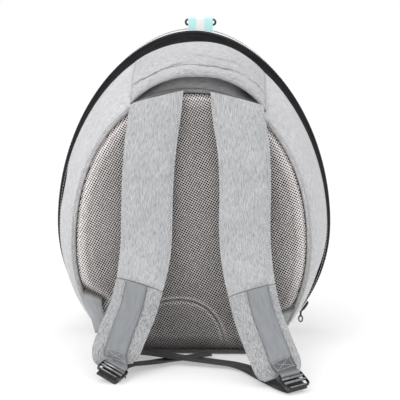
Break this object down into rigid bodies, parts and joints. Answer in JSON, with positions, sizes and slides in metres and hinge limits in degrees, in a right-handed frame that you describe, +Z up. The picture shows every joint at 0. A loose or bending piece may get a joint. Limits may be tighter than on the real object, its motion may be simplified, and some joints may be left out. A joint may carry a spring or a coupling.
{
  "type": "pet carrier backpack",
  "caption": "Egg-shaped pet carrier backpack standing upright, with a padded mesh back, shoulder straps, a top grab yoke and a zipped clear front dome",
  "frame": {"origin": "on the floor, on the flat base, under the middle of the zip plane", "axes": "Z up; Y from the strapped back (-Y) to the clear front (+Y), the longest way because the straps' ends reach out; X across the shoulders"},
  "size_m": [0.341, 0.4177, 0.3898],
  "materials": {
    "shell_cloth": "light grey melange cloth",
    "strap_cloth": "light grey melange cloth",
    "air_mesh": "warm grey padded air mesh",
    "piping_cloth": "grey rolled binding",
    "grey_webbing": "smooth grey webbing",
    "dark_webbing": "charcoal webbing",
    "zip_tape": "black zip tape",
    "zip_coil": "black coil",
    "black_plastic": "black moulded",
    "clear_dome": "clear moulded plastic",
    "striped_webbing": "turquoise and white stripes",
    "dark_metal": "dark plated wire",
    "grey_metal": "grey plated wire"
  },
  "bodies": {
    "carrier": {"back_shell": "shell_cloth", "shell_floor": "shell_cloth", "front_dome": "clear_dome", "dome_floor": "clear_dome", "zip_tape_back": "zip_tape", "zip_tape_front": "zip_tape", "zip_coil": "zip_coil", "base_hinge_strip": "shell_cloth", "back_panel": "air_mesh", "panel_piping": "piping_cloth", "yoke_handle": "shell_cloth", "strap_pad_left": "strap_cloth", "strap_pad_right": "strap_cloth", "buckle_left": "black_plastic", "buckle_right": "black_plastic", "strap_web_left": "grey_webbing", "strap_web_right": "grey_webbing", "anchor_tab_left": "grey_webbing", "anchor_tab_right": "grey_webbing", "webbing_left": "dark_webbing", "webbing_right": "dark_webbing", "top_tab": "striped_webbing", "zip_slider": "black_plastic"},
    "ring": {"top_ring": "dark_metal"},
    "pull": {"zip_pull": "grey_metal"}
  },
  "joints": [
    {"name": "top_ring", "type": "hinge", "parent": "carrier", "child": "ring", "pos_m": [0.008, 0.015, 0.3863], "axis": [1, 0, 0], "range_deg": [0, 280]},
    {"name": "zip_pull", "type": "hinge", "parent": "carrier", "child": "pull", "pos_m": [0.13503, 0, 0.02144], "axis": [0, 1, 0], "range_deg": [-60, 25]}
  ]
}
